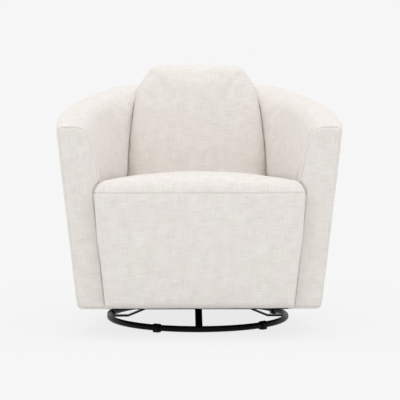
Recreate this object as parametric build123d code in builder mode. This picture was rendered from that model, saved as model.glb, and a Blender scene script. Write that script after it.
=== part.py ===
from build123d import *
from math import asin, atan2, cos, degrees, radians, sin, sqrt, tan
import os

# Swivel accent chair: an upholstered tub on a steel ring that it turns on.
# Millimetres. The floor is Z = 0, the swivel axis is Z and the chair faces -Y.

# Steel ring and its feet
ring_radius = 280.0
tube_radius = 9.5
foot_count = 5
first_foot_angle = -27.3
foot_length = 20.0
foot_wall = 3.0
foot_pad_width = 17.0
foot_lift = 4.0
clip_clearance = 0.4

# Flat spokes from the ring up to the hub
spoke_count = 4
spoke_width = 22.0
spoke_thickness = 5.0
spoke_flat_run = 48.0
spoke_bend_radius = 12.0
spoke_tab_length = 44.0
weld_gap = 0.3

# Swivel plates, rollers and king pin
lower_plate_size = 140.0
upper_plate_size = 150.0
plate_thickness = 4.0
plate_corner_radius = 18.0
plate_gap = 5.0
roller_count = 6
roller_length = 14.0
roller_circle_radius = 48.0
roller_clearance = 0.1
cage_rim = 4.0
cage_thickness = 2.0
pin_radius = 8.0
pin_head_radius = 14.0
pin_head_height = 5.0
pin_end = 2.0
running_clearance = 0.05
thrust_clearance = 0.3
washer_radius = 16.0
washer_thickness = 2.0
nut_flats = 24.0
nut_height = 10.0
hub_hole_radius = 25.0

# Bolts that hold the upper plate to the base board
bolt_spacing = 112.0
bolt_radius = 4.0
bolt_head_radius = 7.5
bolt_head_height = 3.5
bolt_clearance = 0.4
thread_clearance = 0.1
bolt_nut_radius = 7.5
bolt_nut_height = 6.5
bolt_end = 2.0

# Plan of the tub at its rim: a long side arc, a rear corner arc and a straight back
rim_half_width = 429.0
widest_y = -230.0
side_arc_radius = 1160.0
rear_corner_radius = 187.0
rear_y = 410.0
arm_front_y = -360.0

# Padded arms: heights, flare and thicknesses
underside = 88.0
rim_front_height = 632.0
rim_rear_height = 746.0
front_flare = 60.0
rear_flare = 48.0
front_top_thickness = 95.0
rear_top_thickness = 72.0
front_seat_thickness = 130.0
rear_seat_thickness = 95.0
outer_edge_radius = 14.0
inner_edge_radius = 40.0
bottom_edge_radius = 10.0
arm_bend_height = 434.0
inner_arm_bulge = 6.0
arm_foot_spread = 30.0
side_spans = 3

# Seat that falls to the rear, with a rolled front that runs down over the frame
seat_front_reach = 50.0
seat_bottom = 99.0
arm_front_show = 117.0
seat_front_taper = 34.0
seat_shoulder_height = 432.0
seat_edge_height = 476.0
seat_crown_height = 486.0
seat_corner = 47.0
seat_pitch = 2.8
seat_spans = 3
seat_roll_drop = 42.0
seat_side_round = 16.0
seat_tuck = 16.0
seat_arm_gap = 4.0
seat_back_gap = 4.0
soft_gap = 0.5

# Back cushion, leaning
back_lean = 12.0
back_front_y = 142.0
back_side_room = 13.0
back_side_taper = 40.0
back_corner_cut = 40.0
back_cut_height = 744.0
back_top_height = 806.0
back_thickness = 125.0
back_widest_depth = 31.0
back_narrow_depth = 75.0
back_crown = 16.0
back_taper = 69.0
back_top_taper = 24.0
back_side_bulge = 6.0

# Plywood and timber frame
board_thickness = 18.0
board_inset = 15.0
panel_thickness = 20.0
deck_height = 296.0
seat_box_inset = 207.0
seat_box_rear_y = 90.0
block_size = 55.0
block_height = 120.0
post_width = 45.0
post_depth = 30.0
post_inset = 33.0
front_post_setback = 45.0
rear_post_angle = 14.0
back_post_inset = 20.0
back_post_width = 25.0
back_post_depth = 45.0
rim_board_inset = 18.0
rim_board_width = 42.0
rim_board_thickness = 18.0
rim_board_depth = 22.0
pocket_clearance = 0.4

# Webbing and dust cover
strap_width = 50.0
strap_thickness = 2.0
long_strap_count = 5
cross_strap_count = 4
back_strap_count = 3
back_strap_pitch = 95.0
cover_thickness = 1.0
cover_inset = 8.0

# Heights that follow from the stack on the ring
ring_height = foot_lift + tube_radius
upper_plate_top = underside - cover_thickness
upper_plate_bottom = upper_plate_top - plate_thickness
lower_plate_top = upper_plate_bottom - plate_gap
lower_plate_bottom = lower_plate_top - plate_thickness
roller_height = lower_plate_top + plate_gap / 2
board_top = underside + board_thickness

# Centres of the plan's arcs, and the angle at which one runs into the other
side_centre = Vector(rim_half_width - side_arc_radius, widest_y)
corner_y = rear_y - rear_corner_radius
centre_distance = side_arc_radius - rear_corner_radius
corner_x = side_centre.X + sqrt(centre_distance**2 - (corner_y - widest_y) ** 2)
corner_centre = Vector(corner_x, corner_y)
tangent_angle = degrees(atan2(corner_y - widest_y, corner_x - side_centre.X))
front_angle = degrees(asin((arm_front_y - widest_y) / side_arc_radius))
rim_slope = (rim_rear_height - rim_front_height) / (rear_y - arm_front_y)

# Seat and back widths, and the place of the back posts, that follow from the tub
seat_front_y = arm_front_y - seat_front_reach
seat_front_half_width = rim_half_width - arm_front_show
seat_bottom_half_width = seat_front_half_width - seat_front_taper
seat_box_half_width = rim_half_width - seat_box_inset
back_post_x = corner_x - back_post_inset
wall_slope = arm_foot_spread / (arm_bend_height - underside)


def plan_point(angle, inset=0.0):
    """Point of the tub's plan whose outward normal has this angle, moved in by the inset."""
    if angle <= tangent_angle:
        centre = side_centre
        radius = side_arc_radius - inset
    else:
        centre = corner_centre
        radius = rear_corner_radius - inset
    return centre + Vector(cos(radians(angle)), sin(radians(angle))) * radius


def rim_height(y):
    """Height of the rim, which rises evenly from the arm fronts to the back."""
    return rim_front_height + rim_slope * (y - arm_front_y)


def along_plan(angle, front_value, rear_value):
    """Value that changes evenly with the plan angle from the arm fronts to the back."""
    share = (angle - front_angle) / (90 - front_angle)
    return front_value + share * (rear_value - front_value)


def room_between_arms(y):
    """Half the width that the arms leave free at the height where they bend."""
    angle = degrees(asin((y - widest_y) / side_arc_radius))
    wall = along_plan(angle, front_seat_thickness, rear_seat_thickness)
    return side_centre.X + sqrt((side_arc_radius - wall) ** 2 - (y - widest_y) ** 2)


def mirrored(point):
    """The same point of the plan on the other side of the chair."""
    return (-point.X, point.Y)


def tub_outline(inset, front_y):
    """Closed plan line of the tub, moved in by the inset and cut straight at the front."""
    start = degrees(asin((front_y - widest_y) / (side_arc_radius - inset)))
    side = [plan_point(a, inset) for a in (start, (start + tangent_angle) / 2, tangent_angle)]
    corner = [plan_point(a, inset) for a in ((tangent_angle + 90) / 2, 90)]
    right_corner = [side[2], corner[0], corner[1]]
    ThreePointArc(*side)
    ThreePointArc(*right_corner)
    Line(corner[1], mirrored(corner[1]))
    ThreePointArc(*[mirrored(p) for p in right_corner])
    ThreePointArc(*[mirrored(p) for p in side])
    Line(mirrored(side[0]), side[0])


def arm_section(angle, plane_angle):
    """Upright section of the padded wall, drawn as distance in from the rim and height."""
    origin = plan_point(angle)
    top = rim_height(origin.Y)
    flare = along_plan(angle, front_flare, rear_flare)
    thick = along_plan(angle, front_top_thickness, rear_top_thickness)
    seat_thick = along_plan(angle, front_seat_thickness, rear_seat_thickness)
    foot_thick = seat_thick + arm_foot_spread
    inward = Vector(-cos(radians(plane_angle)), -sin(radians(plane_angle)), 0)
    onward = Vector(-sin(radians(plane_angle)), cos(radians(plane_angle)), 0)
    out_r = outer_edge_radius
    in_r = inner_edge_radius
    low_r = bottom_edge_radius
    lean = flare / (top - underside)
    arc_share = 1 - sqrt(0.5)
    outer_top = (0, top - out_r)
    outer_low = (flare - lean * low_r, underside + low_r)
    inner_top = (thick, top - in_r)
    inner_bend = (seat_thick, arm_bend_height)
    inner_middle = (
        (thick + seat_thick) / 2 + inner_arm_bulge,
        (top - in_r + arm_bend_height) / 2,
    )
    with BuildSketch(Plane(origin=(origin.X, origin.Y, 0), x_dir=inward, z_dir=onward)) as section:
        with BuildLine():
            Line((foot_thick, underside), (flare + low_r, underside))
            ThreePointArc(
                (flare + low_r, underside),
                (flare + low_r * arc_share, underside + low_r * arc_share),
                outer_low,
            )
            Line(outer_low, outer_top)
            ThreePointArc(outer_top, (out_r * arc_share, top - out_r * arc_share), (out_r, top))
            Line((out_r, top), (thick - in_r, top))
            ThreePointArc(
                (thick - in_r, top),
                (thick - in_r * arc_share, top - in_r * arc_share),
                inner_top,
            )
            ThreePointArc(inner_top, inner_middle, inner_bend)
            Line(inner_bend, (foot_thick, underside))
        make_face()
    return section.sketch


def rim_plane(depth):
    """Sloping plane at a depth under the rim."""
    return Plane(origin=(0, arm_front_y, rim_front_height - depth), z_dir=(0, -rim_slope, 1))


def rim_frame(clearance):
    """U-shaped board under the rim, or the pocket that takes it."""
    with BuildPart() as frame:
        with BuildSketch(Plane.XY.offset(deck_height)):
            with BuildLine():
                tub_outline(rim_board_inset - clearance, arm_front_y + rim_board_inset - clearance)
            make_face()
            with BuildLine():
                tub_outline(rim_board_inset + rim_board_width + clearance, seat_front_y)
            make_face(mode=Mode.SUBTRACT)
        extrude(amount=rim_rear_height - deck_height)
        split(bisect_by=rim_plane(rim_board_depth - clearance), keep=Keep.BOTTOM)
        split(
            bisect_by=rim_plane(rim_board_depth + rim_board_thickness + clearance),
            keep=Keep.TOP,
        )
    return frame.part


def base_plate(clearance):
    """Tub-shaped board that the whole frame stands on, or the pocket that takes it."""
    with BuildPart() as plate:
        with BuildSketch(Plane.XY.offset(underside)):
            with BuildLine():
                tub_outline(front_flare + board_inset - clearance, arm_front_y + board_inset)
            make_face()
        extrude(amount=board_thickness + clearance)
    return plate.part


# Base ring: one tube bent to a closed hoop
with BuildPart() as base_ring:
    with BuildSketch(Plane.XZ):
        with Locations((ring_radius, ring_height)):
            Circle(tube_radius)
    revolve(axis=Axis.Z)

# Feet: clips round the tube, each with a flat pad on the floor
with BuildPart() as foot:
    with BuildSketch(Plane.XZ):
        with Locations((ring_radius, ring_height)):
            Circle(tube_radius + foot_wall)
        with Locations((ring_radius, 0)):
            Rectangle(foot_pad_width, ring_height, align=(Align.CENTER, Align.MIN))
        with Locations((ring_radius, ring_height)):
            Circle(tube_radius + clip_clearance, mode=Mode.SUBTRACT)
    extrude(amount=foot_length / 2, both=True)
with BuildPart() as ring_feet:
    with PolarLocations(0, foot_count, start_angle=first_foot_angle - 90):
        add(foot.part)

# Spokes: flat bars welded to the ring, bent up to a tab under the lower plate
spoke_start = ring_radius - tube_radius - weld_gap
spoke_bend = spoke_start - spoke_flat_run
tab_start = lower_plate_size / 2 + spoke_bend_radius
tab_height = lower_plate_bottom - spoke_thickness / 2
with BuildPart() as spoke:
    with BuildLine(Plane.XZ) as spoke_path:
        FilletPolyline(
            (spoke_start, ring_height),
            (spoke_bend, ring_height),
            (tab_start, tab_height),
            (tab_start - spoke_tab_length, tab_height),
            radius=spoke_bend_radius,
        )
    with BuildSketch(Plane(origin=spoke_path.line @ 0, x_dir=(0, 1, 0), z_dir=spoke_path.line % 0)):
        Rectangle(spoke_width, spoke_thickness)
    sweep()
with BuildPart() as base_spokes:
    with PolarLocations(0, spoke_count):
        add(spoke.part)

# Lower plate: square with rounded corners, the rollers' track and the king pin's hole
with BuildPart() as lower_plate:
    with BuildSketch(Plane.XY.offset(lower_plate_bottom)):
        RectangleRounded(lower_plate_size, lower_plate_size, plate_corner_radius)
        Circle(pin_radius + running_clearance, mode=Mode.SUBTRACT)
    extrude(amount=plate_thickness)

# Upper plate: its bolt heads stay inside the gap, so they clear the lower plate as it turns
with BuildPart() as upper_plate:
    with BuildSketch(Plane.XY.offset(upper_plate_bottom)):
        RectangleRounded(upper_plate_size, upper_plate_size, plate_corner_radius)
        Circle(pin_radius + running_clearance, mode=Mode.SUBTRACT)
        with GridLocations(bolt_spacing, bolt_spacing, 2, 2):
            Circle(bolt_radius + bolt_clearance, mode=Mode.SUBTRACT)
    extrude(amount=plate_thickness)

# Rollers that lie like the spokes of a wheel, and the flat cage that spaces them
roller_radius = plate_gap / 2 - roller_clearance
slot_length = roller_length + 2 * roller_clearance
slot_width = 2 * (roller_radius + roller_clearance)
with BuildPart() as bearing_rollers:
    with Locations((0, 0, roller_height)):
        with PolarLocations(roller_circle_radius, roller_count):
            Cylinder(roller_radius, roller_length, rotation=(0, 90, 0))
with BuildPart() as roller_cage:
    with BuildSketch(Plane.XY.offset(roller_height - cage_thickness / 2)):
        Circle(roller_circle_radius + slot_length / 2 + cage_rim)
        Circle(roller_circle_radius - slot_length / 2 - cage_rim, mode=Mode.SUBTRACT)
        with PolarLocations(roller_circle_radius, roller_count):
            Rectangle(slot_length, slot_width, mode=Mode.SUBTRACT)
    extrude(amount=cage_thickness)

# King pin with its head under the lower plate, and the washer and nut above the upper one
washer_bottom = upper_plate_top + thrust_clearance
nut_bottom = washer_bottom + washer_thickness
with BuildPart() as king_pin:
    with BuildSketch(Plane.XY.offset(lower_plate_bottom - pin_head_height)):
        Circle(pin_head_radius)
    extrude(amount=pin_head_height)
    chamfer(king_pin.edges().group_by(Axis.Z)[0], pin_head_height / 4)
    with BuildSketch(Plane.XY.offset(lower_plate_bottom)):
        Circle(pin_radius)
    extrude(amount=nut_bottom + nut_height + pin_end - lower_plate_bottom)
with BuildPart() as pin_washer:
    with BuildSketch(Plane.XY.offset(washer_bottom)):
        Circle(washer_radius)
        Circle(pin_radius + running_clearance, mode=Mode.SUBTRACT)
    extrude(amount=washer_thickness)
with BuildPart() as pin_nut:
    with BuildSketch(Plane.XY.offset(nut_bottom)):
        RegularPolygon(nut_flats / 2, 6, major_radius=False)
        Circle(pin_radius + running_clearance, mode=Mode.SUBTRACT)
    extrude(amount=nut_height)

# Plate bolts, heads down, and their nuts on top of the base board
with BuildPart() as plate_bolts:
    with BuildSketch(Plane.XY.offset(upper_plate_bottom - bolt_head_height)):
        with GridLocations(bolt_spacing, bolt_spacing, 2, 2):
            RegularPolygon(bolt_head_radius, 6)
    extrude(amount=bolt_head_height)
    with BuildSketch(Plane.XY.offset(upper_plate_bottom)):
        with GridLocations(bolt_spacing, bolt_spacing, 2, 2):
            Circle(bolt_radius)
    extrude(amount=board_top + bolt_nut_height + bolt_end - upper_plate_bottom)
with BuildPart() as bolt_nuts:
    with BuildSketch(Plane.XY.offset(board_top)):
        with GridLocations(bolt_spacing, bolt_spacing, 2, 2):
            RegularPolygon(bolt_nut_radius, 6)
            Circle(bolt_radius + thread_clearance, mode=Mode.SUBTRACT)
    extrude(amount=bolt_nut_height)

# Base board: plywood, with a hole for the king pin's nut and holes for the bolts
with BuildPart() as base_board:
    add(base_plate(0))
    with Locations((0, 0, board_top)):
        Hole(hub_hole_radius)
        with GridLocations(bolt_spacing, bolt_spacing, 2, 2):
            Hole(bolt_radius + bolt_clearance)

# Dust cover: black cloth on the underside, clamped between the board and the plate
with BuildPart() as dust_cover:
    with BuildSketch(Plane.XY.offset(underside - cover_thickness)):
        with BuildLine():
            tub_outline(front_flare + cover_inset, arm_front_y + cover_inset)
        make_face()
        Circle(hub_hole_radius, mode=Mode.SUBTRACT)
        with GridLocations(bolt_spacing, bolt_spacing, 2, 2):
            Circle(bolt_radius + bolt_clearance, mode=Mode.SUBTRACT)
    extrude(amount=cover_thickness)

# Seat box: four plywood panels on the base board, with glue blocks in the corners
box_height = deck_height - board_top
box_depth = seat_box_rear_y - arm_front_y
inner_half_width = seat_box_half_width - panel_thickness
inner_front_y = arm_front_y + panel_thickness
inner_rear_y = seat_box_rear_y - panel_thickness
with BuildPart() as seat_front_panel:
    with BuildSketch(Plane.XY.offset(board_top)):
        with Locations((0, arm_front_y)):
            Rectangle(2 * inner_half_width, panel_thickness, align=(Align.CENTER, Align.MIN))
    extrude(amount=box_height)
with BuildPart() as seat_back_panel:
    with BuildSketch(Plane.XY.offset(board_top)):
        with Locations((0, inner_rear_y)):
            Rectangle(2 * inner_half_width, panel_thickness, align=(Align.CENTER, Align.MIN))
    extrude(amount=box_height)
with BuildPart() as right_seat_panel:
    with BuildSketch(Plane.XY.offset(board_top)):
        with Locations((inner_half_width, arm_front_y)):
            Rectangle(panel_thickness, box_depth, align=(Align.MIN, Align.MIN))
    extrude(amount=box_height)
with BuildPart() as left_seat_panel:
    mirror(right_seat_panel.part, about=Plane.YZ)
with BuildPart() as glue_blocks:
    with BuildSketch(Plane.XY.offset(board_top)):
        for y, toward in ((inner_front_y, 1), (inner_rear_y, -1)):
            for side in (1, -1):
                corner = (side * inner_half_width, y)
                with BuildLine():
                    Polyline(
                        corner,
                        (corner[0] - side * block_size, y),
                        (corner[0], y + toward * block_size),
                        close=True,
                    )
                make_face()
    extrude(amount=block_height)

# Webbing over the seat box: straps front to back, and straps across on top of them
long_pitch = (2 * seat_box_half_width - strap_width) / long_strap_count
cross_pitch = (box_depth - strap_width) / cross_strap_count
box_middle_y = (arm_front_y + seat_box_rear_y) / 2
with BuildPart() as seat_webbing:
    with BuildSketch(Plane.XY.offset(deck_height)):
        with Locations((0, box_middle_y)):
            with GridLocations(long_pitch, 0, long_strap_count, 1):
                Rectangle(strap_width, box_depth)
    extrude(amount=strap_thickness)
    with BuildSketch(Plane.XY.offset(deck_height + strap_thickness)):
        with Locations((0, box_middle_y)):
            with GridLocations(0, cross_pitch, 1, cross_strap_count):
                Rectangle(2 * seat_box_half_width, strap_width)
    extrude(amount=strap_thickness)

# Back cushion's plane, through the seat's crown height, leaning back
lean_out = Vector(0, -cos(radians(back_lean)), sin(radians(back_lean)))
back_plane = Plane(origin=(0, back_front_y, seat_crown_height), x_dir=(1, 0, 0), z_dir=lean_out)
cushion_bottom = deck_height + 2 * strap_thickness + soft_gap
back_half_width = room_between_arms(back_front_y) - back_side_room
back_cut_half_width = back_half_width - back_side_taper
back_top_half_width = back_cut_half_width - back_corner_cut


def up_the_back(height):
    """Distance along the leaning back from the seat's crown to a height."""
    return (height - seat_crown_height) / cos(radians(back_lean))


def back_section(depth, inset, top_inset):
    """Outline of the back cushion at a depth behind its face, drawn in by the insets."""
    low = up_the_back(cushion_bottom) + top_inset
    cut = up_the_back(back_cut_height) - top_inset
    top = up_the_back(back_top_height) - top_inset
    wide = back_half_width - inset
    cut_wide = back_cut_half_width - inset
    top_wide = back_top_half_width - inset
    bulge_x = (wide + cut_wide) / 2 + back_side_bulge
    with BuildSketch(back_plane.offset(-depth)) as section:
        with BuildLine():
            Line((-wide, low), (wide, low))
            Line((wide, low), (wide, 0))
            ThreePointArc((wide, 0), (bulge_x, cut / 2), (cut_wide, cut))
            Line((cut_wide, cut), (top_wide, top))
            Line((top_wide, top), (-top_wide, top))
            Line((-top_wide, top), (-cut_wide, cut))
            ThreePointArc((-cut_wide, cut), (-bulge_x, cut / 2), (-wide, 0))
            Line((-wide, 0), (-wide, low))
        make_face()
    return section.sketch


# Back cushion: drawn in at its rear edge, rounded over and crowned at its face
with BuildPart() as back_cushion:
    loft(
        [
            back_section(back_thickness, back_taper, back_top_taper),
            back_section(back_narrow_depth, back_taper / 3, 0),
            back_section(back_widest_depth, 0, 0),
            back_section(back_crown / 2, back_crown / 2, back_crown / 2),
            back_section(0, 2 * back_crown, 2 * back_crown),
        ]
    )

# Webbing across the back posts, behind the cushion
with BuildPart() as back_webbing:
    with BuildSketch(back_plane.offset(-back_thickness - soft_gap - strap_thickness)):
        with Locations((0, up_the_back(back_cut_height) / 2 - strap_width / 2)):
            with GridLocations(0, back_strap_pitch, 1, back_strap_count):
                Rectangle(2 * back_post_x + back_post_width, strap_width)
    extrude(amount=strap_thickness)

# Back posts: leaning, from the base board up to the rim board
with BuildPart() as right_back_post:
    post_front = back_thickness + soft_gap + strap_thickness
    with BuildSketch(back_plane.offset(-post_front)):
        with Locations((back_post_x, 0)):
            Rectangle(back_post_width, 2 * back_top_height)
    extrude(amount=-back_post_depth)
    split(bisect_by=rim_plane(rim_board_depth + rim_board_thickness), keep=Keep.BOTTOM)
    split(bisect_by=Plane.XY.offset(board_top), keep=Keep.TOP)
with BuildPart() as left_back_post:
    mirror(right_back_post.part, about=Plane.YZ)


def arm_post(angle):
    """Post inside an arm: it leans out with the arm, from the base board to the rim board."""
    flare = along_plan(angle, front_flare, rear_flare)
    foot_point = plan_point(angle, flare + post_inset)
    head_point = plan_point(angle, post_inset)
    foot_place = Vector(foot_point.X, foot_point.Y, underside)
    head_place = Vector(head_point.X, head_point.Y, rim_height(head_point.Y))
    onward = Vector(-sin(radians(angle)), cos(radians(angle)), 0)
    upward = head_place - foot_place
    with BuildPart() as post:
        with BuildSketch(Plane(origin=foot_place, x_dir=onward, z_dir=upward)):
            Rectangle(post_width, post_depth)
        extrude(amount=upward.length, both=True)
        split(bisect_by=rim_plane(rim_board_depth + rim_board_thickness), keep=Keep.BOTTOM)
        split(bisect_by=Plane.XY.offset(board_top), keep=Keep.TOP)
    return post.part


front_post_angle = degrees(asin((arm_front_y + front_post_setback - widest_y) / side_arc_radius))
with BuildPart() as right_front_post:
    add(arm_post(front_post_angle))
with BuildPart() as right_rear_post:
    add(arm_post(rear_post_angle))
with BuildPart() as left_front_post:
    mirror(right_front_post.part, about=Plane.YZ)
with BuildPart() as left_rear_post:
    mirror(right_rear_post.part, about=Plane.YZ)

# Rim board: U-shaped plywood that ties the posts together under the rim
with BuildPart() as rim_board:
    add(rim_frame(0))

# Arms: padded walls lofted round the plan, with pockets for the frame inside them
corner_middle = (tangent_angle + 90) / 2
side_step = (tangent_angle - front_angle) / side_spans
side_stations = [front_angle + (span + 1) * side_step for span in range(side_spans)]
corner_stations = [tangent_angle, corner_middle, 90]
with BuildPart() as right_arm:
    loft([arm_section(front_angle, 0)] + [arm_section(angle, angle) for angle in side_stations])
    loft([arm_section(angle, angle) for angle in corner_stations])
    add(rim_frame(pocket_clearance), mode=Mode.SUBTRACT)
    add(base_plate(pocket_clearance), mode=Mode.SUBTRACT)
    add(right_front_post.part, mode=Mode.SUBTRACT)
    add(right_rear_post.part, mode=Mode.SUBTRACT)
with BuildPart() as left_arm:
    mirror(right_arm.part, about=Plane.YZ)

# Outer back: the same padded wall, straight across between the arms
with BuildPart() as outer_back:
    extrude(arm_section(90, 90), amount=2 * corner_x, dir=(-1, 0, 0))
    add(rim_frame(pocket_clearance), mode=Mode.SUBTRACT)
    add(base_plate(pocket_clearance), mode=Mode.SUBTRACT)
    add(right_back_post.part, mode=Mode.SUBTRACT)
    add(left_back_post.part, mode=Mode.SUBTRACT)


def crowned_outline(low, low_wide, wide, shoulder, drop):
    """Seat outline across the chair: sloping sides, round top corners and a crown."""
    edge = seat_edge_height - drop
    edge_wide = wide - seat_corner
    arc_x = wide - seat_corner * (1 - sqrt(0.5))
    arc_z = shoulder + (edge - shoulder) * sqrt(0.5)
    Line((-low_wide, low), (low_wide, low))
    Line((low_wide, low), (wide, shoulder))
    ThreePointArc((wide, shoulder), (arc_x, arc_z), (edge_wide, edge))
    ThreePointArc((edge_wide, edge), (0, seat_crown_height - drop), (-edge_wide, edge))
    ThreePointArc((-edge_wide, edge), (-arc_x, arc_z), (-wide, shoulder))
    Line((-wide, shoulder), (-low_wide, low))


def front_section(share):
    """Outline of the seat's front at a share of its reach, rolled over at the top and sides."""
    start = 1 - seat_side_round / seat_front_reach
    turn = max(0, (share - start) / (1 - start))
    inset = seat_side_round * (1 - sqrt(1 - turn**2))
    drop = seat_roll_drop * (1 - sqrt(1 - share**2))
    y = seat_back_y + share * (seat_front_y - seat_back_y)
    with BuildSketch(Plane.XZ.offset(-y)) as section:
        with BuildLine():
            crowned_outline(
                seat_bottom + inset,
                seat_bottom_half_width - inset,
                seat_front_half_width - inset,
                seat_shoulder_height - drop,
                drop,
            )
        make_face()
    return section.sketch


def seat_section(y):
    """Outline of the seat between the arms, as wide as they leave room for."""
    drop = tan(radians(seat_pitch)) * (y - seat_back_y)
    shoulder = seat_shoulder_height - drop
    room = room_between_arms(y) - seat_arm_gap
    with BuildSketch(Plane.XZ.offset(-y)) as section:
        with BuildLine():
            crowned_outline(
                cushion_bottom,
                room - wall_slope * (arm_bend_height - cushion_bottom),
                room - wall_slope * (arm_bend_height - shoulder),
                shoulder,
                drop,
            )
        make_face()
    return section.sketch


# Seat cushion: crowned block between the arms, cut to the lean of the back cushion
seat_back_y = arm_front_y - soft_gap
seat_depth = back_front_y + seat_tuck - seat_back_y
with BuildPart() as seat_cushion:
    loft([seat_section(seat_back_y + span * seat_depth / seat_spans) for span in range(seat_spans + 1)])
    split(bisect_by=back_plane.offset(seat_back_gap), keep=Keep.TOP)

# Seat front: rolled block that laps over the arm fronts and runs down over the frame
front_shares = (0, 0.7, 1)
with BuildPart() as seat_front:
    loft([front_section(share) for share in front_shares])

pieces = {
    "base_ring": base_ring,
    "ring_feet": ring_feet,
    "base_spokes": base_spokes,
    "lower_plate": lower_plate,
    "upper_plate": upper_plate,
    "bearing_rollers": bearing_rollers,
    "roller_cage": roller_cage,
    "king_pin": king_pin,
    "pin_washer": pin_washer,
    "pin_nut": pin_nut,
    "plate_bolts": plate_bolts,
    "bolt_nuts": bolt_nuts,
    "base_board": base_board,
    "dust_cover": dust_cover,
    "seat_front_panel": seat_front_panel,
    "seat_back_panel": seat_back_panel,
    "left_seat_panel": left_seat_panel,
    "right_seat_panel": right_seat_panel,
    "glue_blocks": glue_blocks,
    "seat_webbing": seat_webbing,
    "back_webbing": back_webbing,
    "left_back_post": left_back_post,
    "right_back_post": right_back_post,
    "left_front_post": left_front_post,
    "right_front_post": right_front_post,
    "left_rear_post": left_rear_post,
    "right_rear_post": right_rear_post,
    "rim_board": rim_board,
    "left_arm": left_arm,
    "right_arm": right_arm,
    "outer_back": outer_back,
    "seat_cushion": seat_cushion,
    "seat_front": seat_front,
    "back_cushion": back_cushion,
}

os.makedirs("parts", exist_ok=True)
for name, piece in pieces.items():
    piece.part.label = name
    export_step(piece.part, f"parts/{name}.step")
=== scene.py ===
import math

import bpy
import numpy as np
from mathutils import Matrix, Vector
from mathutils.bvhtree import BVHTree


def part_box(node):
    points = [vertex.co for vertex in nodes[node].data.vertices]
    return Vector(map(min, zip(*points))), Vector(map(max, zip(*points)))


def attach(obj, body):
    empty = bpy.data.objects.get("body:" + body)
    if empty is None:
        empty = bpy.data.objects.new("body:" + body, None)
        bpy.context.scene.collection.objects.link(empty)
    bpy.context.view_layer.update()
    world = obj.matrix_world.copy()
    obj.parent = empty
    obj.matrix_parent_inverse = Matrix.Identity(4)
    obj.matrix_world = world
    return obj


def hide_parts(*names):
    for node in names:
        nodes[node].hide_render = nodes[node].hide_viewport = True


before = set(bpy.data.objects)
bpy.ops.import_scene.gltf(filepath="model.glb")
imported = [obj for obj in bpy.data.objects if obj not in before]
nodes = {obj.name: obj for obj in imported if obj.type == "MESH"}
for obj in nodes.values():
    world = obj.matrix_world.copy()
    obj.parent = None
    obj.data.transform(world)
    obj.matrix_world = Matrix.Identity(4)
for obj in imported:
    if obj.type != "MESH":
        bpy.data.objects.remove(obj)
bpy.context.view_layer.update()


# Ring base: a hoop of bent steel tube with four flat spokes welded to it, and the two plates of the swivel.
# All of it is sprayed with a smooth black half-gloss paint that lies a little uneven.


class Shade:
    """A socket among one material's nodes. Shades take part in plain expressions."""

    def __init__(self, tree, socket=None):
        self.tree = tree
        self.socket = socket

    def add(self, kind, settings, inputs, output=0):
        """A new node: its settings are set first, then the values or links of its sockets."""
        node = self.tree.nodes.new(kind)
        for name, value in settings.items():
            setattr(node, name, value)
        for name, value in inputs.items():
            if isinstance(value, Shade):
                self.tree.links.new(value.socket, node.inputs[name])
            else:
                node.inputs[name].default_value = value
        return Shade(self.tree, node.outputs[output])

    def math(self, operation, first, second):
        return self.add("ShaderNodeMath", {"operation": operation}, {0: first, 1: second})

    def __add__(self, other):
        return self.math("ADD", self, other)

    __radd__ = __add__

    def __sub__(self, other):
        return self.math("SUBTRACT", self, other)

    def __rsub__(self, other):
        return self.math("SUBTRACT", other, self)

    def __mul__(self, other):
        return self.math("MULTIPLY", self, other)

    __rmul__ = __mul__

    def wave(self, pitch):
        """A sine wave along this value, with one rise and fall in two pitches."""
        return self.add("ShaderNodeMath", {"operation": "SINE"}, {0: self * (math.pi / pitch)})

    def stretched(self, scale):
        """This vector, scaled along each axis."""
        return self.add("ShaderNodeVectorMath", {"operation": "MULTIPLY"}, {0: self, 1: scale})

    def noise(self, scale, detail):
        """Soft random values from 0 to 1 at this vector."""
        inputs = {"Vector": self, "Scale": scale, "Detail": detail}
        return self.add("ShaderNodeTexNoise", {}, inputs)

    def between(self, low, high):
        """0 where this value is under low, 1 where it is over high, and smooth between them."""
        inputs = {"Value": self, "From Min": low, "From Max": high}
        return self.add("ShaderNodeMapRange", {"interpolation_type": "SMOOTHSTEP"}, inputs)

    def tint(self, first, second):
        """The first colour where this value is 0, and the second where it is 1."""
        return self.add("ShaderNodeMix", {"data_type": "RGBA"}, {0: self, 6: first, 7: second}, 2)

    def bump(self, strength, distance):
        """Surface normals with this value as their height."""
        inputs = {"Height": self, "Strength": strength, "Distance": distance}
        return self.add("ShaderNodeBump", {}, inputs)

    def feed(self, name):
        """Leads this shade to a socket of the material's surface shader."""
        self.tree.links.new(self.socket, self.tree.nodes["Principled BSDF"].inputs[name])


def finish(name, constants):
    """A new material, its constants on the shader's own sockets, and the place of a point."""
    material = bpy.data.materials.new(name)
    material.use_nodes = True
    surface = material.node_tree.nodes["Principled BSDF"]
    for socket, value in constants.items():
        surface.inputs[socket].default_value = value
    place = Shade(material.node_tree).add("ShaderNodeTexCoord", {}, {}, "Object")
    return material, place


def dress(node_names, material):
    """Puts a material on CAD nodes."""
    for name in node_names:
        nodes[name].material_slots[0].material = material


black_paint, place = finish("black_paint", {"Specular IOR Level": 0.06, "Coat Roughness": 0.12})
paint_flow = place.noise(38.0, 3.0)
paint_grain = place.noise(900.0, 2.0)
paint_flow.tint((0.003, 0.003, 0.0035, 1), (0.007, 0.007, 0.0075, 1)).feed("Base Color")
(0.26 + 0.16 * paint_flow).feed("Roughness")
(0.03 * paint_flow.between(0.3, 0.7)).feed("Coat Weight")
(paint_grain + 3.0 * paint_flow).bump(0.12, 0.0004).feed("Normal")
dress(["base_ring", "base_spokes", "lower_plate", "upper_plate"], black_paint)


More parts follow.
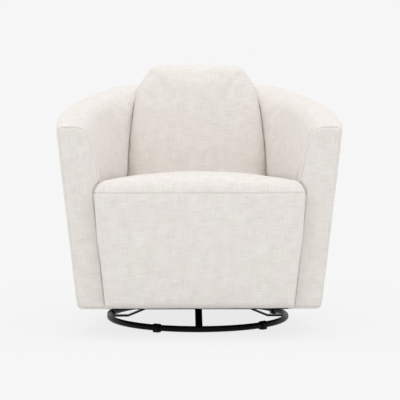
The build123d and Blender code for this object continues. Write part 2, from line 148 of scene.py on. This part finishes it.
# Ring feet: five moulded clips that snap round the tube and keep it off the floor.
# Hard black plastic with a fine spark-eroded grain.
black_plastic, place = finish("black_plastic", {"Specular IOR Level": 0.08})
moulded_grain = place.noise(1600.0, 2.0)
scuffs = place.stretched((60.0, 60.0, 400.0)).noise(1.0, 4.0).between(0.55, 0.8)
scuffs.tint((0.005, 0.005, 0.0055, 1), (0.02, 0.02, 0.021, 1)).feed("Base Color")
(0.42 + 0.14 * moulded_grain).feed("Roughness")
moulded_grain.bump(0.25, 0.0003).feed("Normal")
dress(["ring_feet"], black_plastic)


# Swivel: rollers in a white cage between the two plates, a king pin with its washer and nut, and four bolts.
# Zinc-plated steel with a mottled passivated sheen, ground bearing steel, and a plain nylon cage.
zinc, place = finish("zinc_steel", {"Metallic": 1.0})
spangle = place.noise(140.0, 5.0)
spangle.tint((0.48, 0.47, 0.43, 1), (0.66, 0.66, 0.62, 1)).feed("Base Color")
(0.28 + 0.22 * spangle).feed("Roughness")
spangle.bump(0.08, 0.0003).feed("Normal")
dress(["king_pin", "pin_washer", "pin_nut", "plate_bolts", "bolt_nuts"], zinc)

ground_steel, place = finish("bearing_steel", {"Metallic": 1.0, "Base Color": (0.62, 0.62, 0.63, 1)})
(0.12 + 0.1 * place.noise(300.0, 3.0)).feed("Roughness")
dress(["bearing_rollers"], ground_steel)

white_nylon, place = finish("white_plastic", {"Subsurface Weight": 0.1})
cage_cloud = place.noise(60.0, 2.0)
cage_cloud.tint((0.72, 0.71, 0.67, 1), (0.8, 0.79, 0.76, 1)).feed("Base Color")
(0.45 + 0.15 * cage_cloud).feed("Roughness")
dress(["roller_cage"], white_nylon)


# Inner frame: plywood base board, seat box and rim board, solid timber posts and glue blocks.
# Unfinished birch and pine, glued and screwed, all of it inside the upholstery.
plywood, place = finish("plywood", {"Specular IOR Level": 0.25})
veneer = place.stretched((6.0, 60.0, 60.0)).noise(1.0, 5.0)
plies = place.stretched((2.0, 2.0, 380.0)).noise(1.0, 1.0).between(0.42, 0.58)
(0.6 * veneer + 0.4 * plies).tint((0.5, 0.34, 0.19, 1), (0.72, 0.56, 0.36, 1)).feed("Base Color")
(0.62 + 0.2 * veneer).feed("Roughness")
veneer.bump(0.2, 0.0005).feed("Normal")
seat_box = ["seat_front_panel", "seat_back_panel", "left_seat_panel", "right_seat_panel"]
dress(["base_board", "rim_board"] + seat_box, plywood)

timber, place = finish("timber", {"Specular IOR Level": 0.25})
grain = place.stretched((70.0, 70.0, 5.0)).noise(1.0, 6.0)
grain.tint((0.42, 0.26, 0.13, 1), (0.7, 0.52, 0.31, 1)).feed("Base Color")
(0.6 + 0.25 * grain).feed("Roughness")
grain.bump(0.25, 0.0006).feed("Normal")
posts = [f"{side}_{post}_post" for side in ("left", "right") for post in ("front", "rear", "back")]
dress(posts + ["glue_blocks"], timber)


# Webbing: woven elastic straps over the seat box and across the back posts, stapled at their ends.
# Black polypropylene yarn with a coarse face.
webbing, place = finish("webbing", {"Specular IOR Level": 0.2})
strap_yarn = place.noise(900.0, 2.0)
strap_yarn.tint((0.012, 0.012, 0.013, 1), (0.05, 0.05, 0.052, 1)).feed("Base Color")
(0.7 + 0.2 * strap_yarn).feed("Roughness")
strap_yarn.bump(0.5, 0.0006).feed("Normal")
dress(["seat_webbing", "back_webbing"], webbing)


# Dust cover: black non-woven cloth stapled under the frame, clamped at the hub by the upper plate.
# It is pulled flat by hand, so it hangs a few millimetres between the staples and the hub.
# Its front edge stops short of the board's, under the hem of the seat cover.


def only(piece):
    """Makes one object the only selected and active one."""
    bpy.ops.object.select_all(action="DESELECT")
    piece.select_set(True)
    bpy.context.view_layer.objects.active = piece


def points_of(piece):
    """All the points of a mesh as rows of x, y and z."""
    points = np.empty(len(piece.data.vertices) * 3, np.float32)
    piece.data.vertices.foreach_get("co", points)
    return points.reshape(-1, 3).astype(float)


def put_points(piece, points):
    """Moves the points of a mesh to these places."""
    piece.data.vertices.foreach_set("co", points.astype(np.float32).ravel())
    piece.data.update()


def apply_all(piece):
    """Applies a piece's modifiers in their order."""
    only(piece)
    for modifier in list(piece.modifiers):
        bpy.ops.object.modifier_apply(modifier=modifier.name)


def merge_corners(piece):
    """Joins the loose triangles of a CAD copy at their corners."""
    only(piece)
    bpy.ops.object.mode_set(mode="EDIT")
    bpy.ops.mesh.select_all(action="SELECT")
    bpy.ops.mesh.remove_doubles(threshold=0.00001)
    bpy.ops.object.mode_set(mode="OBJECT")


def eased(share):
    """A share from 0 to 1 that starts and ends gently."""
    return share * share * (3 - 2 * share)


front_trim = 0.012
cover_cell = 0.012
cloth_thickness = 0.0006
cover_sag = 0.004
sag_reach = 0.11
cover_low, cover_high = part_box("dust_cover")
cover_low.y += front_trim
cover_middle = (cover_low + cover_high) / 2
cover_size = cover_high - cover_low
hub_low, hub_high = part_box("upper_plate")
hub_half_width = (hub_high.x - hub_low.x) / 2

bpy.ops.object.select_all(action="DESELECT")
bpy.ops.mesh.primitive_grid_add(
    x_subdivisions=math.ceil(cover_size.x / cover_cell) + 2,
    y_subdivisions=math.ceil(cover_size.y / cover_cell) + 2,
    size=1.0,
    location=cover_middle,
)
dust_sheet = bpy.context.object
dust_sheet.name = "dust_sheet"
dust_sheet.scale = (cover_size.x + 2 * cover_cell, cover_size.y, 1)
bpy.ops.object.transform_apply(location=True, rotation=False, scale=True)
thickness = dust_sheet.modifiers.new("thickness", "SOLIDIFY")
thickness.thickness = cloth_thickness
thickness.offset = 0
cutter = nodes["dust_cover"].copy()
cutter.data = nodes["dust_cover"].data.copy()
bpy.context.scene.collection.objects.link(cutter)
merge_corners(cutter)
trim = dust_sheet.modifiers.new("trim", "BOOLEAN")
trim.operation = "INTERSECT"
trim.solver = "EXACT"
trim.object = cutter
apply_all(dust_sheet)
bpy.data.objects.remove(cutter)

cover_points = points_of(dust_sheet)
hub_gap = np.maximum(np.abs(cover_points[:, 0]), np.abs(cover_points[:, 1])) - hub_half_width
cloth_edge = points_of(nodes["dust_cover"])[:, :2]
cloth_edge = cloth_edge[np.hypot(*cloth_edge.T) > 2 * hub_half_width]
staple_gap = np.array([np.hypot(*(cloth_edge - p[:2]).T).min() for p in cover_points])
slack = np.clip(hub_gap / sag_reach, 0, 1) * np.clip(staple_gap / sag_reach, 0, 1)
cover_points[:, 2] -= cover_sag * eased(slack)
put_points(dust_sheet, cover_points)

dust_cloth, place = finish("dust_cloth", {"Specular IOR Level": 0.15})
fibres = place.stretched((500.0, 500.0, 500.0)).noise(1.0, 4.0)
spots = place.stretched((700.0, 700.0, 1.0)).noise(1.0, 0.0).between(0.55, 0.65)
fibres.tint((0.008, 0.008, 0.009, 1), (0.035, 0.035, 0.037, 1)).feed("Base Color")
(0.8 + 0.15 * fibres).feed("Roughness")
(fibres - 0.6 * spots).bump(0.4, 0.0004).feed("Normal")
dust_sheet.data.materials.clear()
dust_sheet.data.materials.append(dust_cloth)
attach(dust_sheet, "chair")
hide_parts("dust_cover")


# Arms and outer back: foam and wadding over the frame, with a linen cover sewn from panels.
# Each arm has a flat front panel sewn in all round, and the outside panels are tacked on under the rim.
# The linen has slubbed yarns both ways, so it shows short streaks along the weft and the warp.
linen, place = finish(
    "cream_linen",
    {"Specular IOR Level": 0.12, "Sheen Weight": 0.18, "Sheen Roughness": 0.6, "Roughness": 0.95},
)
weave = place.add("ShaderNodeUVMap", {"uv_map": "cloth"}, {})
along = weave.add("ShaderNodeSeparateXYZ", {}, {0: weave}, "X")
upward = weave.add("ShaderNodeSeparateXYZ", {}, {0: weave}, "Y")
yarn_pitch = 0.0011
plain_weave = along.wave(yarn_pitch) * upward.wave(yarn_pitch)
mottle = weave.noise(30.0, 4.0)
warm_patches = weave.noise(8.0, 2.0).between(0.35, 0.65)
weft = weave.stretched((24.0, 1000.0, 1.0)).noise(1.0, 1.0)
warp = weave.stretched((1000.0, 20.0, 1.0)).noise(1.0, 1.0)
weft_slubs = weave.stretched((20.0, 440.0, 1.0)).noise(1.0, 0.0).between(0.64, 0.8)
warp_slubs = weave.stretched((440.0, 16.0, 1.0)).noise(1.0, 0.0).between(0.66, 0.82)
slubs = weft_slubs + 0.8 * warp_slubs
thin_yarn = (1 - weave.stretched((26.0, 520.0, 1.0)).noise(1.0, 0.0)).between(0.64, 0.8)
yarn_tone = 0.5 + 0.8 * (weft - 0.5) + 0.8 * (warp - 0.5) + 0.5 * (mottle - 0.5)
yarn_tone = yarn_tone + 0.3 * slubs - 0.3 * thin_yarn + 0.06 * plain_weave
pale = warm_patches.tint((0.865, 0.835, 0.797, 1), (0.871, 0.827, 0.795, 1))
deep = warm_patches.tint((0.66, 0.63, 0.58, 1), (0.668, 0.62, 0.576, 1))
yarn_tone.between(-0.2, 1.0).tint(deep, pale).feed("Base Color")
yarn_height = 0.25 * plain_weave + 1.6 * weft + 1.6 * warp + 0.9 * slubs - 0.5 * thin_yarn
yarn_height.bump(0.4, 0.0006).feed("Normal")

linen_stiffness = 40
linen_bending = 5
swell_steps = 20
pull_steps = 14
least_facing = 0.1
full_facing = 0.6


def soft_copy(name, sources):
    """A joined copy of CAD soft solids."""
    bpy.ops.object.select_all(action="DESELECT")
    for source in sources:
        copy = bpy.data.objects.new(name, nodes[source].data.copy())
        bpy.context.scene.collection.objects.link(copy)
        copy.select_set(True)
        bpy.context.view_layer.objects.active = copy
    if len(sources) > 1:
        bpy.ops.object.join()
    piece = bpy.context.view_layer.objects.active
    piece.name = name
    merge_corners(piece)
    return piece


def surface_of(node_names):
    """Search tree over the surfaces of some CAD nodes."""
    corners, faces = [], []
    for name in node_names:
        first = len(corners)
        corners += [v.co.copy() for v in nodes[name].data.vertices]
        faces += [[first + i for i in p.vertices] for p in nodes[name].data.polygons]
    return BVHTree.FromPolygons(corners, faces)


def choose_faces(piece, chosen):
    """Goes into edit mode on a piece, with only these faces selected."""
    only(piece)
    bpy.ops.object.mode_set(mode="EDIT")
    bpy.ops.mesh.select_all(action="DESELECT")
    bpy.ops.mesh.select_mode(type="FACE")
    bpy.ops.object.mode_set(mode="OBJECT")
    piece.data.polygons.foreach_set("select", chosen)
    bpy.ops.object.mode_set(mode="EDIT")


def close_pockets(piece, wood_nodes):
    """Removes the pockets that the wood sits in, so that the cover is one closed skin."""
    wood = surface_of(wood_nodes)
    pocket_fit = 0.001
    choose_faces(piece, [wood.find_nearest(p.center, pocket_fit)[0] is not None for p in piece.data.polygons])
    bpy.ops.mesh.delete(type="FACE")
    bpy.ops.mesh.select_all(action="SELECT")
    bpy.ops.mesh.fill_holes(sides=0)
    bpy.ops.mesh.select_mode(type="EDGE")
    bpy.ops.mesh.select_all(action="DESELECT")
    bpy.ops.mesh.select_non_manifold(use_wire=False, use_multi_face=False, use_non_contiguous=False)
    if piece.data.total_edge_sel:
        bpy.ops.mesh.fill()
    bpy.ops.object.mode_set(mode="OBJECT")


def normals_of(piece):
    """The surface normal at each point of a mesh."""
    normals = np.empty(len(piece.data.vertices) * 3, np.float32)
    piece.data.vertices.foreach_get("normal", normals)
    return normals.reshape(-1, 3).astype(float)


def relax(piece, steps):
    """Draws each point of a skin towards its neighbours."""
    smoothing = piece.modifiers.new("relax", "SMOOTH")
    smoothing.factor = 0.5
    smoothing.iterations = steps
    apply_all(piece)


def even_skin(piece, cell, rounding, growth):
    """Even quads over the whole piece, its edges rounded in some steps, grown by what that takes off."""
    only(piece)
    piece.data.remesh_voxel_size = cell
    bpy.ops.object.voxel_remesh()
    relax(piece, rounding)
    put_points(piece, points_of(piece) + growth * normals_of(piece))


def swell(piece, held, pressure, cap):
    """Cloth under the pressure of the filling: held points stay, and none moves past the cap."""
    only(piece)
    start = points_of(piece)
    group = piece.vertex_groups.new(name="held")
    group.add([int(i) for i in np.flatnonzero(held)], 1.0, "REPLACE")
    cover = piece.modifiers.new("cover", "CLOTH")
    cover.settings.use_pressure = True
    cover.settings.uniform_pressure_force = pressure
    cover.settings.tension_stiffness = linen_stiffness
    cover.settings.compression_stiffness = linen_stiffness
    cover.settings.bending_stiffness = linen_bending
    cover.settings.vertex_group_mass = group.name
    cover.settings.effector_weights.gravity = 0
    cover.collision_settings.use_collision = False
    cover.point_cache.frame_start = 1
    cover.point_cache.frame_end = swell_steps
    for step in range(1, swell_steps + 1):
        bpy.context.scene.frame_set(step)
    apply_all(piece)
    bpy.context.scene.frame_set(1)
    piece.vertex_groups.clear()
    moved = points_of(piece) - start
    length = np.linalg.norm(moved, axis=1, keepdims=True) + 1e-9
    put_points(piece, start + moved * np.tanh(length / cap) * cap / length)


def press_against(piece, neighbours, rest, full_reach, end_reach, free):
    """Fills a soft piece's free points out against its neighbours, less and less up to the end reach."""
    surface = surface_of(neighbours)
    points, normals = points_of(piece), normals_of(piece)
    pull = np.zeros_like(points)
    for index in np.flatnonzero(free):
        spot, _, _, gap = surface.find_nearest(Vector(points[index]), end_reach)
        if spot is None or gap < rest:
            continue
        towards = (np.array(spot) - points[index]) / gap
        facing = (towards @ normals[index] - least_facing) / (full_facing - least_facing)
        fade = (end_reach - gap) / (end_reach - full_reach)
        pull[index] = towards * (gap - rest) * min(max(facing, 0), 1) * eased(min(max(fade, 0), 1))
    threads = np.array([e.vertices[:] for e in piece.data.edges])
    neighbour_count = np.bincount(threads.ravel(), minlength=len(points))[:, None]
    for _ in range(pull_steps):
        around = np.zeros_like(pull)
        np.add.at(around, threads[:, 0], pull[threads[:, 1]])
        np.add.at(around, threads[:, 1], pull[threads[:, 0]])
        pull = (pull + around / neighbour_count) / 2
    put_points(piece, points + pull)


def uneven(piece, size, height):
    """Slight unevenness of hand-laid wadding."""
    wadding = bpy.data.textures.new("wadding", "CLOUDS")
    wadding.noise_scale = size
    wave = piece.modifiers.new("wadding", "DISPLACE")
    wave.texture = wadding
    wave.texture_coords = "GLOBAL"
    wave.strength = height
    wave.mid_level = 0.5
    apply_all(piece)


def refine(piece, relaxing):
    """Smooths the pulled skin, then one subdivision that rounds it between its cells."""
    relax(piece, relaxing)
    finer = piece.modifiers.new("finer", "SUBSURF")
    finer.levels = 1
    finer.render_levels = 1
    apply_all(piece)


def sew(piece, distance, width, depth):
    """Draws a seam into the skin: finer cells along it, and a narrow groove."""
    middles = np.array([p.center for p in piece.data.polygons])
    facing = np.array([p.normal for p in piece.data.polygons])
    choose_faces(piece, distance(middles, facing) < 2 * width)
    bpy.ops.mesh.subdivide(number_cuts=1, smoothness=0)
    bpy.ops.object.mode_set(mode="OBJECT")
    points, normals = points_of(piece), normals_of(piece)
    near = np.clip(1 - (distance(points, normals) / width) ** 2, 0, 1)
    put_points(piece, points - depth * (near * near)[:, None] * normals)


def upholster(piece, fill, *node_names):
    """Lays the linen on a piece in the run of its threads, and puts it in its nodes' place."""
    only(piece)
    piece.data.uv_layers.new(name="cloth")
    bpy.ops.object.mode_set(mode="EDIT")
    bpy.ops.mesh.select_all(action="SELECT")
    bpy.ops.uv.cube_project(cube_size=1.0, correct_aspect=False, clip_to_bounds=False, scale_to_bounds=False)
    bpy.ops.object.mode_set(mode="OBJECT")
    bpy.ops.object.shade_smooth()
    piece.data.materials.clear()
    piece.data.materials.append(linen)
    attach(piece, "chair")
    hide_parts(*node_names)


arm_low, arm_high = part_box("right_arm")
back_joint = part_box("outer_back")[1].x
bend_height = 0.434
arm_cell = 0.0087
arm_rounding = 2
arm_growth = 0.0015
arm_pressure = 1.5
arm_cap = 0.005
arm_fill = 0.85
arm_relaxing = 2
arm_lump = 0.11
arm_lump_height = 0.0022

right_arm = soft_copy("right_arm_cover", ["right_arm"])

# Seams of the arms: how far points lie from each, with off_seam added where it doesn't run.
off_seam = 0.1
seam_width = 0.004
seam_depth = 0.0045
panel_fit = 0.0001
panel_inset = 0.003
panel_edge = np.array([v.co for v in right_arm.data.vertices if v.co.y < arm_low.y + panel_fit])
panel_middle = panel_edge.mean(axis=0)
turn = np.arctan2(panel_edge[:, 2] - panel_middle[2], panel_edge[:, 0] - panel_middle[0])
panel_edge = panel_edge[np.argsort(turn)]
inwards = panel_middle - panel_edge
panel_edge += panel_inset * inwards / np.abs(inwards).max(axis=1, keepdims=True)
panel_edge = np.vstack([panel_edge, panel_edge[:1]])


def panel_seam(points, normals):
    """Distance from the edge of the arm's front panel."""
    nearest = np.full(len(points), np.inf)
    for start, end in zip(panel_edge[:-1], panel_edge[1:]):
        run = end - start
        share = np.clip((points - start) @ run / (run @ run), 0, 1)
        nearest = np.minimum(nearest, np.linalg.norm(points - start - share[:, None] * run, axis=1))
    return nearest


tack_line = 0.024
tack_start = 0.014
outside = 0.5
rim_probe = 0.001
rim_front_height = max(v.co.z for v in nodes["right_arm"].data.vertices if v.co.y < arm_low.y + rim_probe)
rim_slope = (arm_high.z - rim_front_height) / (arm_high.y - arm_low.y)


def rim_seam(points, normals):
    """Distance from the line under the rim where the outside panel is tacked on."""
    height = rim_front_height + rim_slope * (points[:, 1] - arm_low.y) - tack_line
    outwards = normals[:, 0] * np.sign(points[:, 0]) + normals[:, 1] * (points[:, 1] > 0)
    at_panel = points[:, 1] <= arm_low.y + tack_start
    return np.abs(points[:, 2] - height) + off_seam * (outwards < outside) + off_seam * at_panel


seat_edge_width = 0.008
seat_edge_depth = 0.0055
forwards = -0.5
seat_front_surface = surface_of(["seat_front"])


def seat_edge(points, normals):
    """Distance from the seat's front, which presses into the front panels of the arms."""
    gaps = [seat_front_surface.find_nearest(Vector(p))[3] for p in points]
    return np.array(gaps) + off_seam * (normals[:, 1] > forwards)


# The foot, the joint to the outer back, the face beside the seat and the panel seam hold the skin.
foot_edge = 0.006
foot_hem = 0.001
held_foot = 0.016
held_joint = 0.014
held_seat = 0.01
held_seam = 1.2 * arm_cell
inside = -0.3
pad_rest = 0.005
pad_full_reach = 0.04
pad_end_reach = 0.11
pad_start = 0.02

close_pockets(right_arm, ["right_front_post", "right_rear_post", "rim_board"])
even_skin(right_arm, arm_cell, arm_rounding, arm_growth)
points, normals = points_of(right_arm), normals_of(right_arm)
points[points[:, 2] < arm_low.z + foot_edge, 2] -= foot_hem
put_points(right_arm, points)
at_foot = points[:, 2] < arm_low.z + held_foot
at_joint = points[:, 0] < back_joint + held_joint
at_seat = (points[:, 2] < bend_height + held_seat) & (normals[:, 0] < inside)
at_seam = panel_seam(points, normals) < held_seam
swell(right_arm, at_foot | at_joint | at_seat | at_seam, arm_pressure, arm_cap)
points = points_of(right_arm)
beside_pad = (points[:, 2] > bend_height) & (points[:, 0] > back_joint + pad_start)
press_against(right_arm, ["back_cushion"], pad_rest, pad_full_reach, pad_end_reach, beside_pad)
uneven(right_arm, arm_lump, arm_lump_height)
refine(right_arm, arm_relaxing)
sew(right_arm, panel_seam, seam_width, seam_depth)
sew(right_arm, rim_seam, seam_width, seam_depth)
sew(right_arm, seat_edge, seat_edge_width, seat_edge_depth)

left_arm = bpy.data.objects.new("left_arm_cover", right_arm.data.copy())
bpy.context.scene.collection.objects.link(left_arm)
put_points(left_arm, points_of(left_arm) * (-1, 1, 1))
only(left_arm)
bpy.ops.object.mode_set(mode="EDIT")
bpy.ops.mesh.select_all(action="SELECT")
bpy.ops.mesh.flip_normals()
bpy.ops.object.mode_set(mode="OBJECT")
upholster(right_arm, arm_fill, "right_arm")
upholster(left_arm, arm_fill, "left_arm")

outer_back = soft_copy("outer_back_cover", ["outer_back"])
close_pockets(outer_back, ["right_back_post", "left_back_post", "rim_board"])
even_skin(outer_back, arm_cell, arm_rounding, arm_growth)
points = points_of(outer_back)
points[points[:, 2] < arm_low.z + foot_edge, 2] -= foot_hem
put_points(outer_back, points)
at_foot = points[:, 2] < arm_low.z + held_foot
at_joint = np.abs(points[:, 0]) > back_joint - held_joint
swell(outer_back, at_foot | at_joint, arm_pressure, arm_cap)
uneven(outer_back, arm_lump, arm_lump_height)
refine(outer_back, arm_relaxing)
sew(outer_back, rim_seam, seam_width, seam_depth)
upholster(outer_back, arm_fill, "outer_back")


# Seat: a foam block with a linen cover, one top panel that rolls over the front edge and a front panel.
# The front laps over the arm fronts and runs down to the bottom of the frame, with a seam under the roll.
# Its lower edge is a hem that is drawn back under the base board.
front_low, front_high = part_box("seat_front")
front_depth = front_high.y - front_low.y
seat_cell = 0.0075
seat_rounding = 2
seat_growth = 0.0
seat_pressure = 4.0
seat_cap = 0.009
seat_fill = 0.8
seat_relaxing = 2
seat_lump = 0.12
seat_lump_height = 0.003
seat_seam_height = 0.437
seat_seam_depth = 0.7 * seam_depth
seat_seam_end = 0.003
hem_drop = 0.0115
hem_tuck = 0.034
hem_reach = 0.03
side_bulge = 0.0045
bulge_height = 0.3
bulge_spread = 0.05
held_side = 0.004
sideways = 0.6
slanting = 0.4

seat = soft_copy("seat_cover", ["seat_cushion", "seat_front"])


def seat_seam(points, normals):
    """Distance from the seam across the seat's front and round its sides."""
    between_arms = points[:, 1] > arm_low.y - seat_seam_end
    return np.abs(points[:, 2] - seat_seam_height) + off_seam * between_arms


even_skin(seat, seat_cell, seat_rounding, seat_growth)
points, normals = points_of(seat), normals_of(seat)
hem = np.clip((points[:, 1] - front_low.y) / front_depth, 0, 1)
hem = hem * np.clip(1 - (points[:, 2] - front_low.z) / hem_reach, 0, 1)
points[:, 1] += hem_tuck * hem * hem
points[:, 2] -= hem_drop * hem
lap = np.clip((arm_low.y - points[:, 1]) / front_depth, 0, 1)
bulge = side_bulge * np.exp(-(((points[:, 2] - bulge_height) / bulge_spread) ** 2))
points[:, 0] += np.sqrt(lap) * bulge * points[:, 0] / front_high.x
put_points(seat, points)
underneath = normals[:, 2] < -slanting
behind = normals[:, 1] > slanting
beside = (np.abs(normals[:, 0]) > sideways) & (points[:, 1] > arm_low.y - held_side)
at_seam = seat_seam(points, normals) < seat_cell
at_corner = (np.abs(normals[:, 0]) > slanting) & (points[:, 2] > seat_seam_height)
swell(seat, underneath | behind | beside | at_seam | at_corner, seat_pressure, seat_cap)
uneven(seat, seat_lump, seat_lump_height)
refine(seat, seat_relaxing)
sew(seat, seat_seam, seam_width, seat_seam_depth)
upholster(seat, seat_fill, "seat_cushion", "seat_front")


# Back cushion: a thick leaning pad between the arms, cut off at its top corners.
# Foam wrapped in wadding, in a tight linen cover that fills out against the wall of the tub behind it.
back_low, back_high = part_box("back_cushion")
back_lean = math.radians(12)
back_cell = 0.006
back_rounding = 20
back_growth = 0.0055
back_pressure = 1.5
back_cap = 0.010
back_fill = 0.75
back_relaxing = 6
back_lump = 0.12
back_lump_height = 0.003
back_belly = 0.016
belly_overlap = 0.02
belly_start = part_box("seat_cushion")[1].z - belly_overlap
held_bottom = 0.06
turned_back = -0.2
wall_rest = 0.003
wall_full_reach = 0.07
wall_end_reach = 0.15
wall_facing = 0.5
wall_top = 0.2

back_cushion = soft_copy("back_cover", ["back_cushion"])
even_skin(back_cushion, back_cell, back_rounding, back_growth)
points, normals = points_of(back_cushion), normals_of(back_cushion)
rise = np.clip((points[:, 2] - belly_start) / (back_high.z - belly_start), 0, 1)
points[:, 1] -= back_belly * np.sin(math.pi * rise) * np.clip(-normals[:, 1], 0, 1)
put_points(back_cushion, points)
outward = np.array([0, -math.cos(back_lean), math.sin(back_lean)])
behind = normals @ outward < turned_back
underneath = points[:, 2] < back_low.z + held_bottom
swell(back_cushion, behind | underneath, back_pressure, back_cap)
facing_wall = normals_of(back_cushion)[:, 1] > wall_facing
above_posts = points_of(back_cushion)[:, 2] > back_high.z - wall_top
tub_wall = ["outer_back", "left_arm", "right_arm"]
press_against(back_cushion, tub_wall, wall_rest, wall_full_reach, wall_end_reach, facing_wall & above_posts)
uneven(back_cushion, back_lump, back_lump_height)
refine(back_cushion, back_relaxing)
upholster(back_cushion, back_fill, "back_cushion")


# Studio: a plain pale floor that runs into the background, soft light all round and from above.
# The camera stands a little to the left and looks slightly down, as in the photograph.
background = 0.921
floor_glow = 0.88
floor_radius = 60.0
room_light = 0.65
lamp_spread = math.radians(100)
scene = bpy.context.scene
scene.view_settings.view_transform = "Standard"


def seen_directly(tree):
    """1 for what the camera sees, straight, mirrored or through glass, and 0 for light on the object."""
    rays = tree.nodes.new("ShaderNodeLightPath").outputs
    straight, mirrored, through = [
        Shade(tree, rays[name]) for name in ("Is Camera Ray", "Is Glossy Ray", "Is Transmission Ray")
    ]
    return straight.math("MAXIMUM", straight.math("MAXIMUM", straight, mirrored), through)


bpy.ops.object.select_all(action="DESELECT")
bpy.ops.mesh.primitive_circle_add(vertices=96, radius=floor_radius, fill_type="NGON", location=(0, 0, 0))
floor = bpy.context.object
floor.name = "studio_floor"
floor_finish, place = finish("studio_floor", {"Base Color": (0.8, 0.8, 0.8, 1), "Roughness": 0.9})
floor_tree = floor_finish.node_tree
lit = Shade(floor_tree, floor_tree.nodes["Principled BSDF"].outputs[0])
glow = place.add("ShaderNodeEmission", {}, {"Color": (background, background, background, 1)})
shown = place.add("ShaderNodeMixShader", {}, {0: floor_glow * seen_directly(floor_tree), 1: lit, 2: glow})
floor_tree.links.new(shown.socket, floor_tree.nodes["Material Output"].inputs["Surface"])
floor.data.materials.append(floor_finish)

world = bpy.data.worlds.new("studio")
scene.world = world
world.use_nodes = True
sky = world.node_tree.nodes["Background"]
sky.inputs["Color"].default_value = (1, 1, 1, 1)
strength = room_light + (background - room_light) * seen_directly(world.node_tree)
world.node_tree.links.new(strength.socket, sky.inputs["Strength"])


def soft_sun(name, strength, direction):
    """A very soft lamp that shines along a direction."""
    lamp = bpy.data.lights.new(name, "SUN")
    lamp.energy = strength
    lamp.angle = lamp_spread
    holder = bpy.data.objects.new(name, lamp)
    holder.rotation_euler = Vector(direction).to_track_quat("-Z", "Y").to_euler()
    scene.collection.objects.link(holder)


soft_sun("overhead", 1.05, (0.0, 0.15, -1))
soft_sun("from_the_left", 0.5, (0.85, 0.28, -0.55))
soft_sun("from_the_right", 0.5, (-0.85, 0.28, -0.55))

camera_place = (-0.0873, -5.5, 0.8522)
camera_dip = math.radians(4.878)
camera_turn = math.radians(-0.982)
camera = bpy.data.cameras.new("camera")
camera.sensor_width = 36
camera.lens = 156.5
camera.clip_end = 200
viewer = bpy.data.objects.new("camera", camera)
viewer.location = camera_place
viewer.rotation_euler = (math.pi / 2 - camera_dip, 0, camera_turn)
scene.collection.objects.link(viewer)
scene.camera = viewer
